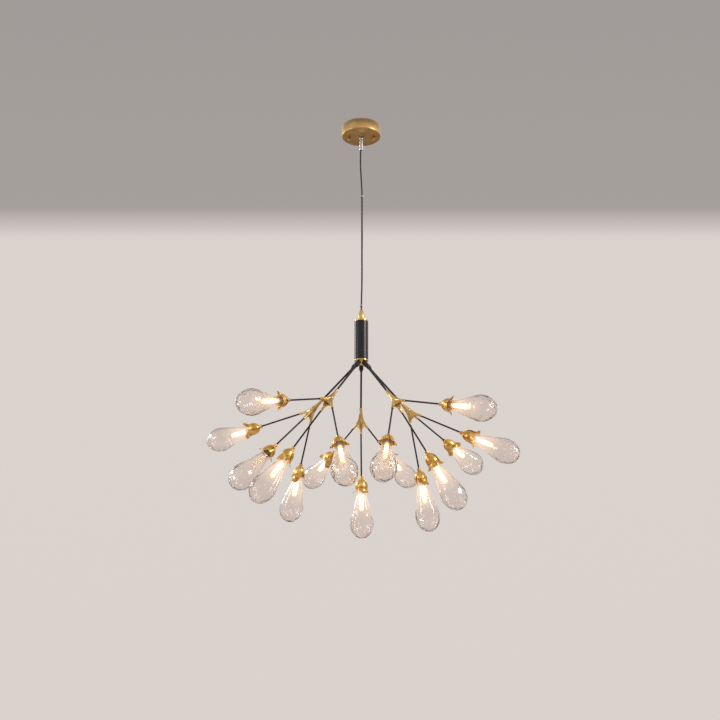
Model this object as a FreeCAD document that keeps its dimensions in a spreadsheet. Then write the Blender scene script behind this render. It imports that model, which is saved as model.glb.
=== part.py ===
import FreeCAD, Part
import math
import os
import re
import Sketcher

# Branch chandelier: a brass ceiling cup, a cord with a steel wire, a black body tube, and five
# black arms that each end in a cast brass tripod.  Every tripod carries three black rods, and
# every rod a brass flower cup with a lamp in a clear glass drop.
#
# Millimetres, +Z up.  The origin is the middle of the ceiling strap's upper face, so the whole
# light lies below it.  The viewer stands at -Y, and +X is to the viewer's right.

doc = FreeCAD.newDocument("branch_chandelier")
Vector, Placement, Rotation = FreeCAD.Vector, FreeCAD.Placement, FreeCAD.Rotation
NO_TURN = Rotation()

# ---------------------------------------------------------------- driving dimensions
SIZES = {
    # ceiling cup, strap and what the cup holds
    "cup_diameter": 100, "cup_height": 28, "cup_wall": 1.2, "cup_edge_bevel": 2.5,
    "strap_length": 80, "strap_width": 18, "strap_thickness": 1.6,
    "mains_hole_diameter": 10, "slot_spacing": 36, "slot_length": 12, "slot_width": 4.4,
    "stud_spacing": 62, "stud_diameter": 4, "stud_reach": 5,
    "nut_diameter": 7.5, "nut_height": 10, "nut_bevel": 1.2, "nut_well_spare": 1,
    "block_length": 28, "block_width": 14, "block_height": 14, "block_inset": 15,
    "well_diameter": 4, "well_depth": 5, "well_pitch": 8,
    # cord gland, grip, cord and wire
    "gland_stem_diameter": 9.8, "gland_diameter": 12, "gland_drop": 7, "gland_bore": 6.6,
    "locknut_flats": 14, "locknut_height": 2.5, "stem_rise": 4.5,
    "pivot_depth": 6, "ball_diameter": 9.6, "ball_crown": 2,
    "grip_length": 32, "grip_tip_diameter": 8.6, "grip_bore": 7.8,
    "cord_diameter": 4, "cord_offset": 0.8, "wire_diameter": 1.2, "wire_offset": 2,
    "tail_gap": 0.7, "clip_diameter": 8.8, "clip_height": 4,
    "clip_play": 0.25,
    "upper_clip_drop": 197, "lower_clip_rise": 9,
    # cable gripper and body tube
    "hub_depth": 626, "tube_diameter": 34, "tube_length": 98, "tube_wall": 1.2,
    "tube_skirt": 3, "cap_thickness": 5, "cap_inset": 0.5, "cap_spigot": 8, "cap_chamfer": 0.8,
    "gripper_base": 16, "gripper_height": 25, "gripper_tip": 7.6, "gripper_bore": 6.6,
    "gripper_spigot": 8.4, "gripper_rim": 1.5, "gripper_bulge": 45, "cord_entry": 3,
    "driver_diameter": 26, "driver_length": 60,
    # hub and arms
    "hub_disc_diameter": 34.5, "hub_disc": 2.5, "hub_slope": 44, "hub_cone_reach": 15,
    "hub_tip_diameter": 11, "hub_bevel": 1.2, "hub_spigot": 9,
    "arm_seat": 13.9, "arm_thread_diameter": 6, "arm_thread_length": 5,
    "sleeve_diameter": 11, "sleeve_length": 14, "sleeve_taper": 8, "arm_diameter": 4.8,
    "arm_insert": 12,
    # cast tripod
    "arm_reach": 169, "stem_length": 34.7, "stem_tip_diameter": 7.4, "stem_root_diameter": 15.5,
    "stem_hollow": 90, "crotch_rise": 4.5, "prong_length": 37.6, "prong_tip_diameter": 6.6,
    "prong_root_diameter": 14, "prong_hollow": 110, "prong_angle": 33.2, "socket_spare": 1,
    "web_reach": 33, "web_arch": 21, "web_thickness": 3.6,
    # rods and flower cups
    "rod_diameter": 4, "rod_reach": 141, "rod_insert": 10, "rod_seat": 6,
    "collar_diameter": 8.8, "collar_length": 7, "shoulder_diameter": 16, "shoulder_rise": 10,
    "gallery_diameter": 27, "gallery_rise": 22, "gallery_top": 31, "gallery_wall": 1.2,
    "ledge_diameter": 21.6, "ledge_height": 5, "floor_diameter": 12.4, "floor_height": 3,
    "bell_length": 44, "bell_waist": 26, "waist_diameter": 30.4, "bell_bulge": 24,
    "lip_diameter": 39, "lip_curl": 24, "bell_wall": 1.4, "bell_overlap": 0.4,
    "notch_floor": 15, "notch_radius": 1.5, "notch_mouth": 31.6, "notch_sweep": 48,
    "notch_spare": 1,
    # lamp
    "holder_diameter": 11, "holder_seat": 9, "holder_length": 27, "lamp_diameter": 10.4,
    "lamp_length": 50, "plug_diameter": 7, "plug_length": 6, "plug_spare": 0.5,
    # glass drop
    "glass_reach": 153.5, "glass_diameter": 59.2, "neck_diameter": 24, "neck_seat": 25.5,
    "glass_wall": 2, "side_angle": 15, "side_radius": 45, "tip_radius": 26,
    # clearances
    "running_clearance": 0.05, "seat_clearance": 0.3,
}

# One row for each branch: the arm's tilt from straight down, its bearing (0 faces the viewer,
# positive to the right) and the turn of its tripod about the arm, all in degrees.
BRANCHES = {
    "front_left": (44.3, -37.4, 64.1),
    "left": (45.1, -103.7, 73.9),
    "back": (42.4, 180.5, -1.0),
    "front_right": (43.4, 40.0, 48.9),
    "right": (44.3, 106.1, 4.9),
}
PRONG_BEARINGS = (0, 120, 240)

sheet = doc.addObject("Spreadsheet::Sheet", "sizes")


def fill_sheet():
    """Write each driving dimension into a row of the sheet: its name, then its value."""
    rows = dict(SIZES)
    for branch, (tilt, bearing, turn) in BRANCHES.items():
        rows[branch + "_tilt"] = tilt
        rows[branch + "_bearing"] = bearing
        rows[branch + "_turn"] = turn
    for row, (name, value) in enumerate(rows.items(), start=1):
        sheet.set("A%d" % row, name)
        sheet.set("B%d" % row, str(value))
        sheet.setAlias("B%d" % row, name)
    doc.recompute()


fill_sheet()


def size(formula):
    """The value of a formula in the sheet's names, such as 'tube_diameter / 2'."""
    return float(sheet.evalExpression(formula))


# ---------------------------------------------------------------- ways of making a piece
SHEET_NAMES = {sheet.getAlias("B%d" % row) for row in range(1, len(SIZES) + 3 * len(BRANCHES) + 1)}


def in_sheet(formula):
    """A formula with every name of the sheet written the way other objects refer to it."""
    return re.sub("[a-z_]+", lambda word: (
        "sizes." + word.group() if word.group() in SHEET_NAMES else word.group()), formula)


def drive(sketch, kind, edge, end, formula):
    """Hold one coordinate of a sketch point at a formula of the sheet."""
    if formula == "0":
        axis = -2 if kind == "DistanceX" else -1
        sketch.addConstraint(Sketcher.Constraint("PointOnObject", edge, end, axis))
        return
    rule = Sketcher.Constraint(kind, -1, 1, edge, end, size(formula))
    sketch.setExpression("Constraints[%d]" % sketch.addConstraint(rule), in_sheet(formula))


def arc_between(start, end, radius, side):
    """The arc of a given radius from start to end, bulging to the left (1) or right (-1)."""
    chord = end - start
    left = Vector(-chord.y, chord.x, 0).normalize() * side
    sagitta = radius - math.sqrt(radius ** 2 - (chord.Length / 2) ** 2)
    return Part.Arc(start, (start + end) / 2 + left * sagitta, end)


def add_outline(sketch, corners):
    """Draw a closed outline.  A corner is (across, up), or (across, up, radius, side), which
    starts an arc that runs to the next corner."""
    spots = [Vector(size(corner[0]), size(corner[1]), 0) for corner in corners]
    ends = []
    for index, corner in enumerate(corners):
        start, end = spots[index], spots[(index + 1) % len(spots)]
        if len(corner) == 2:
            edge = sketch.addGeometry(Part.LineSegment(start, end))
            ends.append((edge, 1, 2))
            continue
        radius, side = corner[2:]
        edge = sketch.addGeometry(arc_between(start, end, size(radius), side))
        forward = sketch.getPoint(edge, 1).distanceToPoint(start) < 1e-6
        ends.append((edge, 1, 2) if forward else (edge, 2, 1))
        rule = Sketcher.Constraint("Radius", edge, size(radius))
        sketch.setExpression("Constraints[%d]" % sketch.addConstraint(rule), in_sheet(radius))
    for index, (edge, _, last) in enumerate(ends):
        following, first, _ = ends[(index + 1) % len(ends)]
        sketch.addConstraint(Sketcher.Constraint("Coincident", edge, last, following, first))
    for corner, (edge, first, _) in zip(corners, ends):
        drive(sketch, "DistanceX", edge, first, corner[0])
        drive(sketch, "DistanceY", edge, first, corner[1])


def add_circles(sketch, centres, diameter):
    """Draw a circle of one diameter at each (across, up) centre."""
    for across, up in centres:
        middle = Vector(size(across), size(up), 0)
        edge = sketch.addGeometry(Part.Circle(middle, Vector(0, 0, 1), size(diameter) / 2))
        rule = sketch.addConstraint(Sketcher.Constraint("Radius", edge, size(diameter) / 2))
        sketch.setExpression("Constraints[%d]" % rule, in_sheet(diameter) + " / 2")
        drive(sketch, "DistanceX", edge, 3, across)
        drive(sketch, "DistanceY", edge, 3, up)


def new_body(name):
    return doc.addObject("PartDesign::Body", name)


def new_sketch(body, name, role):
    sketch = body.newObject("Sketcher::SketchObject", name)
    planes = [item for item in body.Origin.OriginFeatures if item.Role == role]
    sketch.AttachmentSupport = (planes[0], [""])
    sketch.MapMode = "FlatFace"
    return sketch


def turned(name, corners):
    """A piece turned on a lathe: an outline of (radius, height) corners, spun about Z."""
    body = new_body(name)
    outline = new_sketch(body, name + "_outline", "XZ_Plane")
    add_outline(outline, corners)
    spin = body.newObject("PartDesign::Revolution", name + "_spin")
    spin.Profile = outline
    spin.ReferenceAxis = (outline, ["V_Axis"])
    spin.Angle = 360
    doc.recompute()
    return body


def padded(body, name, sketch, thickness):
    """Add a sketch as a block, on the back of its plane."""
    pad = body.newObject("PartDesign::Pad", name)
    pad.Profile = sketch
    pad.setExpression("Length", in_sheet(thickness))
    pad.Reversed = True
    doc.recompute()
    return pad


def drilled(body, name, sketch, depth=None):
    """Cut a sketch on the XY plane right through, or to a depth below the plane."""
    cut = body.newObject("PartDesign::Pocket", name)
    cut.Profile = sketch
    if depth is None:
        cut.Type = "ThroughAll"
        cut.Midplane = True
    else:
        cut.setExpression("Length", in_sheet(depth))
    before = body.Shape.Volume
    doc.recompute()
    if cut.Shape.Volume >= before:
        raise ValueError(name + " cuts nothing")
    return cut


def cylinder(name, diameter, length, base=()):
    """A plain round bar along Z from its base point."""
    bar = doc.addObject("Part::Cylinder", name)
    bar.setExpression("Radius", "(%s) / 2" % in_sheet(diameter))
    bar.setExpression("Height", in_sheet(length))
    for axis, formula in zip("xyz", base):
        bar.setExpression("Placement.Base." + axis, in_sheet(formula))
    return bar


def placed(name, pattern, *places):
    """A node: copies of a pattern piece, one at each place."""
    copies = []
    for number, place in enumerate(places, start=1):
        copy = doc.addObject("Part::Compound", "%s_copy_%d" % (name, number))
        copy.Links = [pattern]
        copy.Placement = place
        copies.append(copy)
    node = doc.addObject("Part::Compound", name)
    node.Links = copies
    return node


def less(name, base, *tools):
    """A piece with tools cut out of it."""
    tool = doc.addObject("Part::Compound", name + "_tools")
    tool.Links = list(tools)
    cut = doc.addObject("Part::Cut", name)
    cut.Base, cut.Tool = base, tool
    return cut


def joined(name, *pieces):
    fuse = doc.addObject("Part::MultiFuse", name)
    fuse.Shapes = list(pieces)
    return fuse


def at(x, y, z):
    """The place at a point given as three formulas, with no turn."""
    return Placement(Vector(size(x), size(y), size(z)), NO_TURN)


def route_path(points):
    """Straight runs joined by arcs.  Each arc is as large as its two runs allow: 0.45 of the
    shorter run, over the tangent of half the turn.  Returns the wire and the radii."""
    edges, radii, start = [], [], points[0]
    for before, corner, after in zip(points, points[1:], points[2:]):
        arrive, leave = (corner - before).normalize(), (after - corner).normalize()
        reach = 0.45 * min((corner - before).Length, (after - corner).Length)
        turn = arrive.getAngle(leave)
        radii.append(reach / math.tan(turn / 2))
        first, last = corner - arrive * reach, corner + leave * reach
        inward = (leave - arrive).normalize()
        middle = corner + inward * radii[-1] * (1 / math.cos(turn / 2) - 1)
        edges += [Part.LineSegment(start, first).toShape(), Part.Arc(first, middle, last).toShape()]
        start = last
    edges.append(Part.LineSegment(start, points[-1]).toShape())
    return Part.Wire(edges), radii


def round_lead(name, points, diameter):
    """A cord of one diameter along a route, with its volume held against section x length."""
    path, radii = route_path(points)
    first_run = points[1] - points[0]
    ring = Part.Wire(Part.Circle(points[0], first_run, diameter / 2).toShape())
    node = doc.addObject("Part::Feature", name)
    node.Shape = path.makePipeShell([ring], True, False)
    expected = math.pi * diameter ** 2 / 4 * path.Length
    print("%s: length %.1f mm, volume %.4f of section x length, radii %s" % (
        name, path.Length, node.Shape.Volume / expected, [round(radius) for radius in radii]))
    return node


nodes = {}


def keep(name, piece):
    """Make a piece a node of the light, under the name that its file takes."""
    piece.Label = name
    nodes[name] = piece


# ---------------------------------------------------------------- ceiling strap
# Steel strap against the ceiling: two slots for the ceiling screws, a hole for the mains leads
# and two welded studs that hold the cup up.
strap = new_body("mounting_bracket")
plate = new_sketch(strap, "strap_plate", "XY_Plane")
add_outline(plate, [("-strap_length / 2", "-strap_width / 2"), ("strap_length / 2", "-strap_width / 2"),
                    ("strap_length / 2", "strap_width / 2"), ("-strap_length / 2", "strap_width / 2")])
padded(strap, "strap_pad", plate, "strap_thickness")
holes = new_sketch(strap, "strap_holes", "XY_Plane")
add_circles(holes, [("0", "0")], "mains_hole_diameter")
SLOT_FLAT = "(slot_length - slot_width) / 2"
for side in ("-", ""):
    middle = side + "slot_spacing / 2"
    add_outline(holes, [(middle + " - " + SLOT_FLAT, "-slot_width / 2"),
                        (middle + " + " + SLOT_FLAT, "-slot_width / 2"),
                        (middle + " + " + SLOT_FLAT, "slot_width / 2"),
                        (middle + " - " + SLOT_FLAT, "slot_width / 2")])
drilled(strap, "strap_hole_cut", holes)
slot_ends = new_sketch(strap, "slot_ends", "XY_Plane")
add_circles(slot_ends, [(side + "slot_spacing / 2 " + way + " " + SLOT_FLAT, "0")
                        for side in ("-", "") for way in ("-", "+")], "slot_width")
drilled(strap, "slot_end_cut", slot_ends)
studs = new_sketch(strap, "studs", "XY_Plane")
add_circles(studs, [("-stud_spacing / 2", "0"), ("stud_spacing / 2", "0")], "stud_diameter")
padded(strap, "stud_pad", studs, "cup_height + stud_reach")
keep("mounting_bracket", strap)

# ---------------------------------------------------------------- ceiling cup
# Spun brass cup, open towards the ceiling, with a rolled lower edge.
GLAND_HOLE = "gland_stem_diameter / 2 + seat_clearance"
canopy = turned("canopy", [
    ("cup_diameter / 2", "0"),
    ("cup_diameter / 2", "cup_edge_bevel - cup_height"),
    ("cup_diameter / 2 - cup_edge_bevel", "-cup_height"),
    (GLAND_HOLE, "-cup_height"),
    (GLAND_HOLE, "cup_wall - cup_height"),
    ("cup_diameter / 2 - cup_edge_bevel", "cup_wall - cup_height"),
    ("cup_diameter / 2 - cup_wall", "cup_edge_bevel - cup_height"),
    ("cup_diameter / 2 - cup_wall", "0")])
nut_holes = new_sketch(canopy, "nut_holes", "XY_Plane")
add_circles(nut_holes, [("-stud_spacing / 2", "0"), ("stud_spacing / 2", "0")],
            "(stud_diameter + 2 * seat_clearance)")
drilled(canopy, "nut_hole_cut", nut_holes)
keep("canopy", canopy)

# Two knurled cap nuts on the studs hold the cup against the ceiling.
NUT_BORE = "stud_diameter / 2 + running_clearance"
NUT_WELL = "-stud_reach - nut_well_spare"
nut = turned("cap_nut", [
    (NUT_BORE, "0"), ("nut_diameter / 2", "0"),
    ("nut_diameter / 2", "nut_bevel - nut_height"), ("nut_diameter / 2 - nut_bevel", "-nut_height"),
    ("0", "-nut_height"), ("0", NUT_WELL), (NUT_BORE, NUT_WELL)])
keep("cap_nuts", placed("cap_nuts", nut, at("-stud_spacing / 2", "0", "-cup_height"),
                        at("stud_spacing / 2", "0", "-cup_height")))

# Moulded block on the cup's floor, where the mains leads meet the lamp's own lead.
block = new_body("terminal_block")
block_plan = new_sketch(block, "block_plan", "XY_Plane")
add_outline(block_plan, [("-block_length / 2", "block_inset"), ("block_length / 2", "block_inset"),
                         ("block_length / 2", "block_inset + block_width"),
                         ("-block_length / 2", "block_inset + block_width")])
padded(block, "block_pad", block_plan, "block_height")
wells = new_sketch(block, "screw_wells", "XY_Plane")
add_circles(wells, [(across, "block_inset + block_width / 2")
                    for across in ("-well_pitch", "0", "well_pitch")], "well_diameter")
drilled(block, "screw_well_cut", wells, "well_depth")
BLOCK_TOP = "cup_wall + block_height - cup_height"
block.Placement = at("0", "0", BLOCK_TOP)
keep("terminal_block", block)

# ---------------------------------------------------------------- cord gland and grip
# Chromed gland through the cup's middle, held by a hexagonal locknut inside the cup.  Its lower
# end is a socket in which the ball end of the clear cord grip turns, so the cord can swing.
PIVOT = "-cup_height - pivot_depth"
SOCKET = "(ball_diameter / 2 + seat_clearance)"
gland = turned("gland", [
    ("gland_bore / 2", "%s + sqrt(%s^2 - gland_bore^2 / 4)" % (PIVOT, SOCKET)),
    ("gland_bore / 2", "cup_wall - cup_height + stem_rise"),
    ("gland_stem_diameter / 2", "cup_wall - cup_height + stem_rise"),
    ("gland_stem_diameter / 2", "-cup_height"),
    ("gland_diameter / 2", "-cup_height"),
    ("gland_diameter / 2", "-cup_height - gland_drop"),
    ("sqrt(%s^2 - (gland_drop - pivot_depth)^2)" % SOCKET, "-cup_height - gland_drop", SOCKET, -1)])
locknut_block = doc.addObject("Part::Prism", "locknut_block")
locknut_block.Polygon = 6
locknut_block.setExpression("Circumradius", in_sheet("locknut_flats / 2 / cos(30)"))
locknut_block.setExpression("Height", in_sheet("locknut_height"))
locknut_block.setExpression("Placement.Base.z", in_sheet("cup_wall - cup_height"))
locknut_hole = cylinder("locknut_hole", "gland_stem_diameter + 2 * running_clearance",
                        "locknut_height", ("0", "0", "cup_wall - cup_height"))
locknut = less("locknut", locknut_block, locknut_hole)
keep("cord_gland", placed("cord_gland", gland, Placement()))
nodes["cord_gland"].Links = nodes["cord_gland"].Links + [locknut]

grip = turned("cord_grip", [
    ("sqrt(ball_diameter^2 / 4 - ball_crown^2)", "ball_crown", "ball_diameter / 2", 1),
    ("ball_diameter / 2", "0"),
    ("grip_tip_diameter / 2", "-grip_length"),
    ("grip_bore / 2", "-grip_length"),
    ("grip_bore / 2", "ball_crown")])
grip.Placement = at("0", "0", PIVOT)
keep("cord_grip", grip)

# ---------------------------------------------------------------- cord, wire and clips
# The black lead beside a thin steel wire that carries the weight.  Both run from the gland to
# the cable gripper, tied to each other by two small clear clips.
CORD_END = ("-hub_depth + tube_length - tube_skirt + cap_thickness + gripper_height - cord_entry")
CORD_DRIFT = ((-1.6, -66), (-2.2, -102), (-0.6, -140), (1.5, -172), (2.1, -208), (1.7, -256),
              (2.2, -306), (1.6, -356), (1.9, -404), (1.3, -444), (0.3, -477))
lane = -size("cord_offset")
cord_route = [Vector(0, lane, size(PIVOT))]
cord_route += [Vector(drift, lane, depth) for drift, depth in CORD_DRIFT]
cord_route.append(Vector(0, lane, size(CORD_END)))
keep("power_cord", round_lead("power_cord", cord_route, size("cord_diameter")))

# The lead's tail, from the gland up and over to the terminal block.
tail_level = size("cup_wall - cup_height + block_height / 2")
tail_route = [Vector(0, lane, size(PIVOT + " + tail_gap")), Vector(0, lane, tail_level),
              Vector(0, size("block_inset"), tail_level)]
keep("lead_tail", round_lead("lead_tail", tail_route, size("cord_diameter")))

wire = cylinder("suspension_wire", "wire_diameter", "%s - (%s)" % (PIVOT, CORD_END),
                ("0", "wire_offset", CORD_END))
keep("suspension_wire", wire)


def drift_at(depth):
    """How far the cord stands to the right at a depth below the ceiling."""
    for above, below in zip(cord_route, cord_route[1:]):
        if above.z >= depth >= below.z:
            return above.x + (below.x - above.x) * (depth - above.z) / (below.z - above.z)
    raise ValueError("no cord at that depth")


def clip(name, level):
    """A clear collar, with a hole for the cord and a hole for the wire."""
    drift = drift_at(size(level + " + clip_height / 2"))
    collar = cylinder(name + "_collar", "clip_diameter", "clip_height")
    holes = [cylinder(name + "_cord_hole", "cord_diameter + 2 * clip_play", "clip_height"),
             cylinder(name + "_wire_hole", "wire_diameter + 2 * clip_play", "clip_height")]
    middle = size("(wire_offset - cord_offset) / 2")
    for bar, across, along in zip([collar] + holes, (drift / 2, drift, 0),
                                  (middle, lane, size("wire_offset"))):
        bar.Placement = Placement(Vector(across, along, size(level)), NO_TURN)
    return less(name, collar, *holes)


GRIPPER_TOP = CORD_END + " + cord_entry"
clips = doc.addObject("Part::Compound", "cable_clips")
clips.Links = [clip("upper_clip", "-upper_clip_drop"),
               clip("lower_clip", GRIPPER_TOP + " + lower_clip_rise")]
keep("cable_clips", clips)

# ---------------------------------------------------------------- gripper, tube and caps
# Turned brass gripper that holds the wire and swivels in the tube's top cap.
CAP_TOP = "-hub_depth + tube_length - tube_skirt + cap_thickness"
SPIGOT_LENGTH = "cap_thickness + cap_spigot"
gripper = turned("cable_gripper", [
    ("gripper_bore / 2", "-(" + SPIGOT_LENGTH + ")"),
    ("gripper_spigot / 2 - running_clearance", "-(" + SPIGOT_LENGTH + ")"),
    ("gripper_spigot / 2 - running_clearance", "0"),
    ("gripper_base / 2", "0"),
    ("gripper_base / 2", "gripper_rim", "gripper_bulge", -1),
    ("gripper_tip / 2", "gripper_height"),
    ("gripper_bore / 2", "gripper_height")])
gripper.Placement = at("0", "0", CAP_TOP)
keep("cable_gripper", gripper)

TUBE_TOP = "-hub_depth + tube_length - tube_skirt"
INSIDE = "tube_diameter / 2 - tube_wall - running_clearance"
cap = turned("top_cap", [
    ("gripper_spigot / 2", "-cap_spigot"), (INSIDE, "-cap_spigot"), (INSIDE, "0"),
    ("tube_diameter / 2 - cap_inset", "0"),
    ("tube_diameter / 2 - cap_inset", "cap_thickness - cap_chamfer"),
    ("tube_diameter / 2 - cap_inset - cap_chamfer", "cap_thickness"),
    ("gripper_spigot / 2", "cap_thickness")])
cap.Placement = at("0", "0", TUBE_TOP)
keep("top_cap", cap)

tube = turned("body_tube", [
    ("tube_diameter / 2 - tube_wall", "0"), ("tube_diameter / 2", "0"),
    ("tube_diameter / 2", "tube_length"), ("tube_diameter / 2 - tube_wall", "tube_length")])
tube.Placement = at("0", "0", "-hub_depth - tube_skirt")
keep("body_tube", tube)

# The potted lamp driver stands on the hub's spigot, with its lead up the middle of the gripper.
DRIVER_BASE = "hub_spigot - tube_skirt"
DRIVER_LEAD_TOP = "(%s) + hub_depth - tail_gap" % CORD_END
driver = turned("led_driver", [
    ("0", DRIVER_BASE), ("driver_diameter / 2", DRIVER_BASE),
    ("driver_diameter / 2", DRIVER_BASE + " + driver_length"),
    ("cord_diameter / 2", DRIVER_BASE + " + driver_length"),
    ("cord_diameter / 2", DRIVER_LEAD_TOP), ("0", DRIVER_LEAD_TOP)])
driver.Placement = at("0", "0", "-hub_depth")
keep("led_driver", driver)

# ---------------------------------------------------------------- hub and arms
# Turned brass plug that closes the tube.  Its conical underside has a flat seat and a tapped
# hole for each arm, and every arm points away from one spot, the hub's own origin.
HUB_FLOOR = "-tube_skirt - hub_disc"
CONE_APEX = "hub_cone_reach / cos(hub_slope)"
HUB_TIP = "hub_tip_diameter / 2 * tan(hub_slope) - " + CONE_APEX
hub_blank = turned("hub_blank", [
    ("0", DRIVER_BASE), (INSIDE, DRIVER_BASE), (INSIDE, "-tube_skirt"),
    ("hub_disc_diameter / 2", "-tube_skirt"), ("hub_disc_diameter / 2", HUB_FLOOR),
    ("(%s + %s) / tan(hub_slope)" % (CONE_APEX, HUB_FLOOR), HUB_FLOOR),
    ("hub_tip_diameter / 2", HUB_TIP), ("hub_tip_diameter / 2 - hub_bevel", HUB_TIP + " - hub_bevel"),
    ("0", HUB_TIP + " - hub_bevel")])


def arm_direction(branch):
    """The way an arm points: straight down, tilted out, then turned to its bearing."""
    tilt, bearing = (math.radians(size(branch + word)) for word in ("_tilt", "_bearing"))
    return Vector(math.sin(tilt) * math.sin(bearing), -math.sin(tilt) * math.cos(bearing),
                  -math.cos(tilt))


def arm_rotation(branch):
    """Z along the arm and X along the steepest way down, square to the arm."""
    along = arm_direction(branch)
    down = Vector(0, 0, -1)
    steep = (down - along * down.dot(along)).normalize()
    return Rotation(steep, along.cross(steep), along, "ZXY")


# The stepped cutter for an arm's seat: the tapped hole, then the flat that the sleeve meets.
HOLE_START = "arm_seat - arm_thread_length - seat_clearance"
seat_cutter = turned("seat_cutter", [
    ("0", HOLE_START), ("arm_thread_diameter / 2 + running_clearance", HOLE_START),
    ("arm_thread_diameter / 2 + running_clearance", "arm_seat"),
    ("sleeve_diameter / 2 + 2 * running_clearance", "arm_seat"),
    ("sleeve_diameter / 2 + 2 * running_clearance", "arm_seat + sleeve_length"),
    ("0", "arm_seat + sleeve_length")])
hub_centre = Vector(0, 0, -size("hub_depth"))
hub = less("hub", hub_blank, *[placed("seat_cutter_" + branch, seat_cutter,
                                      Placement(Vector(), arm_rotation(branch)))
                               for branch in BRANCHES])
hub.Placement = Placement(hub_centre, NO_TURN)
keep("hub", hub)

# Black arm: a threaded end, a sleeve that shoulders on the hub, a taper and a slim tube.
SLEEVE_END = "arm_seat + sleeve_length"
ARM_END = "arm_reach - stem_length + arm_insert"
arm = turned("arm", [
    ("0", "arm_seat - arm_thread_length"),
    ("arm_thread_diameter / 2", "arm_seat - arm_thread_length"),
    ("arm_thread_diameter / 2", "arm_seat"), ("sleeve_diameter / 2", "arm_seat"),
    ("sleeve_diameter / 2", SLEEVE_END), ("arm_diameter / 2", SLEEVE_END + " + sleeve_taper"),
    ("arm_diameter / 2", ARM_END), ("0", ARM_END)])

# ---------------------------------------------------------------- cast tripod
# Brass casting like a bird's foot: a waisted stem that takes the arm, three waisted prongs that
# take the rods, and a web between each two prongs with an arched edge.  Z runs on along the
# arm, and the origin is where all axes meet.
stem = turned("tripod_stem", [
    ("0", "-stem_length"), ("stem_tip_diameter / 2", "-stem_length", "stem_hollow", 1),
    ("stem_root_diameter / 2", "0",
     "(stem_root_diameter^2 / 4 + crotch_rise^2) / (2 * crotch_rise)", -1),
    ("0", "crotch_rise")])
prong = turned("tripod_prong", [
    ("0", "0"), ("prong_root_diameter / 2", "0", "prong_hollow", 1),
    ("prong_tip_diameter / 2", "prong_length"), ("0", "prong_length")])


# The web lies in the plane of two prongs, with their bisector along its own Y.
WEB_HALF = "asin(sin(prong_angle) * sin(60))"
WEB_SIDE = "web_reach * sin(%s)" % WEB_HALF
WEB_LEVEL = "web_reach * cos(%s)" % WEB_HALF
web = new_body("tripod_web")
web_outline = new_sketch(web, "web_outline", "XY_Plane")
add_outline(web_outline, [("0", "0"), ("-" + WEB_SIDE, WEB_LEVEL, "web_arch", -1),
                          (WEB_SIDE, WEB_LEVEL)])
padded(web, "web_pad", web_outline, "web_thickness")


def prong_place(bearing, reach=0):
    """The place on a prong's axis, at a reach from the tripod's origin, with Z outwards."""
    turn = Rotation(Vector(0, 0, 1), bearing) * Rotation(Vector(0, 1, 0), size("prong_angle"))
    return Placement(turn.multVec(Vector(0, 0, reach)), turn)


def web_place(bearing):
    """The place of the web between the prong at a bearing and the next one."""
    near, far = (prong_place(turn).multVec(Vector(0, 0, 1)) for turn in (bearing, bearing + 120))
    across, middle = (far - near).normalize(), (far + near).normalize()
    normal = across.cross(middle)
    return Placement(normal * size("web_thickness / 2"), Rotation(across, middle, normal, "ZYX"))


def branch_place(branch):
    """The place of a branch's tripod: at the arm's end, turned about the arm."""
    turn = arm_rotation(branch) * Rotation(Vector(0, 0, 1), size(branch + "_turn"))
    return Placement(hub_centre + arm_direction(branch) * size("arm_reach"), turn)


arm_socket = cylinder("arm_socket", "arm_diameter + 2 * running_clearance",
                      "arm_insert + socket_spare", ("0", "0", "-stem_length"))
rod_socket = cylinder("rod_socket", "rod_diameter + 2 * running_clearance",
                      "rod_insert + socket_spare")
socket_start = size("prong_length - rod_insert - socket_spare")
casting = joined("tripod_casting", stem,
                 *[placed("prong_%d" % bearing, prong, prong_place(bearing))
                   for bearing in PRONG_BEARINGS],
                 *[placed("web_%d" % bearing, web, web_place(bearing))
                   for bearing in PRONG_BEARINGS])
tripod = less("tripod", casting, arm_socket,
              *[placed("rod_socket_%d" % bearing, rod_socket, prong_place(bearing, socket_start))
                for bearing in PRONG_BEARINGS])

# ---------------------------------------------------------------- rod and flower cup
rod = cylinder("rod", "rod_diameter", "rod_reach + rod_seat - prong_length + rod_insert")

# Cast brass cup like a tulip: a collar on the rod that widens into a gallery for the glass, and
# a bell of three broad petals round it, whose lips curl out.  Z runs out along the rod, from
# the collar's face.
ROD_HOLE = "rod_diameter / 2 + running_clearance"
THROAT = "gallery_diameter / 2 - gallery_wall"
LEDGE = "neck_seat - seat_clearance"
gallery = turned("cup_gallery", [
    (ROD_HOLE, "0"), ("collar_diameter / 2", "0"), ("collar_diameter / 2", "collar_length"),
    ("shoulder_diameter / 2", "shoulder_rise"), ("gallery_diameter / 2", "gallery_rise"),
    ("gallery_diameter / 2", "gallery_top"), (THROAT, "gallery_top"), (THROAT, LEDGE),
    ("ledge_diameter / 2", LEDGE), ("ledge_diameter / 2", LEDGE + " - ledge_height"),
    ("floor_diameter / 2", "holder_seat + floor_height"), ("floor_diameter / 2", "holder_seat"),
    (ROD_HOLE, "holder_seat")])
bell = turned("cup_bell", [
    ("collar_diameter / 2", "collar_length", "bell_bulge", -1),
    ("waist_diameter / 2", "bell_waist", "lip_curl", 1), ("lip_diameter / 2", "bell_length"),
    ("lip_diameter / 2 - bell_wall", "bell_length", "lip_curl + bell_wall", -1),
    ("waist_diameter / 2 - bell_wall", "bell_waist"),
    ("shoulder_diameter / 2 - bell_overlap", "shoulder_rise")])
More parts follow.
